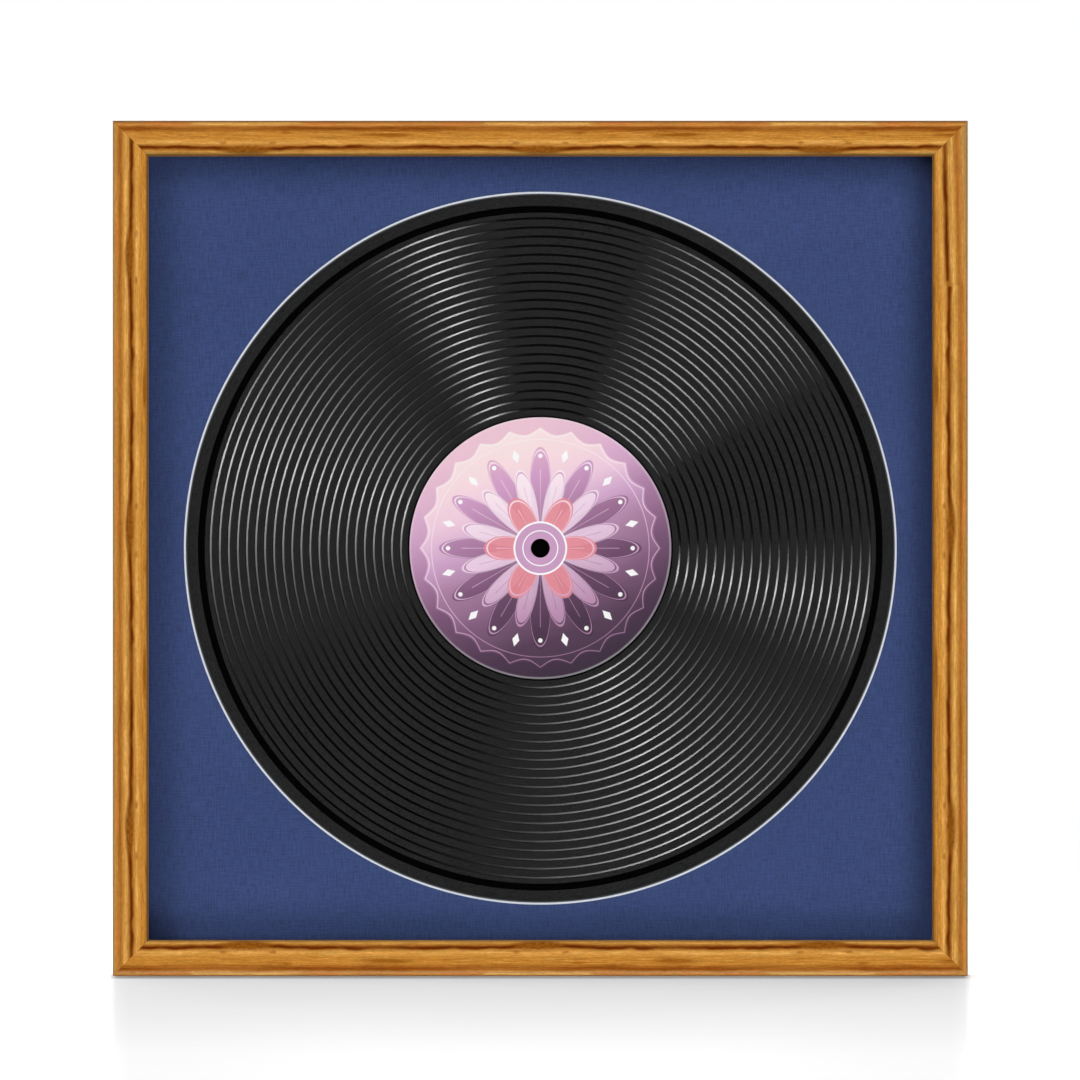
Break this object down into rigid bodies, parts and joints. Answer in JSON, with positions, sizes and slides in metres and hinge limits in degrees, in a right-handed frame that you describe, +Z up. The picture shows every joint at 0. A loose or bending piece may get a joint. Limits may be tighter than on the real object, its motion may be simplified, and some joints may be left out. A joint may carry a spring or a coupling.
{
  "type": "vinyl record frame",
  "caption": "Square flat-profile oak wall frame with a round-windowed blue mat showing a grooved disc; sheets held by turn buttons, with a sawtooth hanger and bumpers on the back.",
  "frame": {"origin": "middle of the object's footprint, on the surface the frame stands on (underside of the bottom rail)", "axes": "+Z up along the frame's height, +X to the right seen from the display side, +Y towards the wall; the display side faces -Y"},
  "size_m": [0.3624, 0.0322, 0.3624],
  "materials": {
    "oak": "golden oak, satin varnish, dark wavy grain streaks",
    "acrylic": "clear polished acrylic sheet",
    "spacer": "matte black extruded spacer strip",
    "mat_blue": "blue linen-textured mat board with an off-white bevelled core",
    "vinyl": "black pressed vinyl, glossy, fine grooves",
    "label_paper": null,
    "foam_board": "black paper-faced foam board",
    "hardboard": "brown tempered hardboard",
    "zinc": "zinc-plated steel",
    "brass_plate": "brass-plated steel",
    "rubber": "matte black rubber"
  },
  "bodies": {
    "frame": {"back_panel": "hardboard", "backing_board": "foam_board", "bumper_left": "rubber", "bumper_right": "rubber", "button_screw_bottom_1": "zinc", "button_screw_bottom_2": "zinc", "button_screw_left_1": "zinc", "button_screw_left_2": "zinc", "button_screw_right_1": "zinc", "button_screw_right_2": "zinc", "button_screw_top_1": "zinc", "button_screw_top_2": "zinc", "carrier_board": "foam_board", "glazing": "acrylic", "hanger_nail_left": "brass_plate", "hanger_nail_right": "brass_plate", "label_back": "label_paper", "label_front": "label_paper", "mat_board": "mat_blue", "rail_bottom": "oak", "rail_left": "oak", "rail_right": "oak", "rail_top": "oak", "record_disc": "vinyl", "sawtooth_hanger": "brass_plate", "spacer_bottom": "spacer", "spacer_left": "spacer", "spacer_right": "spacer", "spacer_top": "spacer", "v_nail_bottom_left_inner": "zinc", "v_nail_bottom_left_outer": "zinc", "v_nail_bottom_right_inner": "zinc", "v_nail_bottom_right_outer": "zinc", "v_nail_top_left_inner": "zinc", "v_nail_top_left_outer": "zinc", "v_nail_top_right_inner": "zinc", "v_nail_top_right_outer": "zinc"},
    "turn_button_bottom_1": {"turn_button_bottom_1": "zinc"},
    "turn_button_bottom_2": {"turn_button_bottom_2": "zinc"},
    "turn_button_left_1": {"turn_button_left_1": "zinc"},
    "turn_button_left_2": {"turn_button_left_2": "zinc"},
    "turn_button_right_1": {"turn_button_right_1": "zinc"},
    "turn_button_right_2": {"turn_button_right_2": "zinc"},
    "turn_button_top_1": {"turn_button_top_1": "zinc"},
    "turn_button_top_2": {"turn_button_top_2": "zinc"}
  },
  "joints": [
    {"name": "turn_button_bottom_1_swivel", "type": "hinge", "parent": "frame", "child": "turn_button_bottom_1", "pos_m": [-0.088, 0.01285, 0.00432], "axis": [0, 1, 0], "continuous": true},
    {"name": "turn_button_bottom_2_swivel", "type": "hinge", "parent": "frame", "child": "turn_button_bottom_2", "pos_m": [0.088, 0.01285, 0.00432], "axis": [0, 1, 0], "continuous": true},
    {"name": "turn_button_left_1_swivel", "type": "hinge", "parent": "frame", "child": "turn_button_left_1", "pos_m": [-0.17688, 0.01285, 0.2692], "axis": [0, 1, 0], "continuous": true},
    {"name": "turn_button_left_2_swivel", "type": "hinge", "parent": "frame", "child": "turn_button_left_2", "pos_m": [-0.17688, 0.01285, 0.0932], "axis": [0, 1, 0], "continuous": true},
    {"name": "turn_button_right_1_swivel", "type": "hinge", "parent": "frame", "child": "turn_button_right_1", "pos_m": [0.17688, 0.01285, 0.0932], "axis": [0, 1, 0], "continuous": true},
    {"name": "turn_button_right_2_swivel", "type": "hinge", "parent": "frame", "child": "turn_button_right_2", "pos_m": [0.17688, 0.01285, 0.2692], "axis": [0, 1, 0], "continuous": true},
    {"name": "turn_button_top_1_swivel", "type": "hinge", "parent": "frame", "child": "turn_button_top_1", "pos_m": [0.088, 0.01285, 0.35807], "axis": [0, 1, 0], "continuous": true},
    {"name": "turn_button_top_2_swivel", "type": "hinge", "parent": "frame", "child": "turn_button_top_2", "pos_m": [-0.088, 0.01285, 0.35807], "axis": [0, 1, 0], "continuous": true}
  ]
}
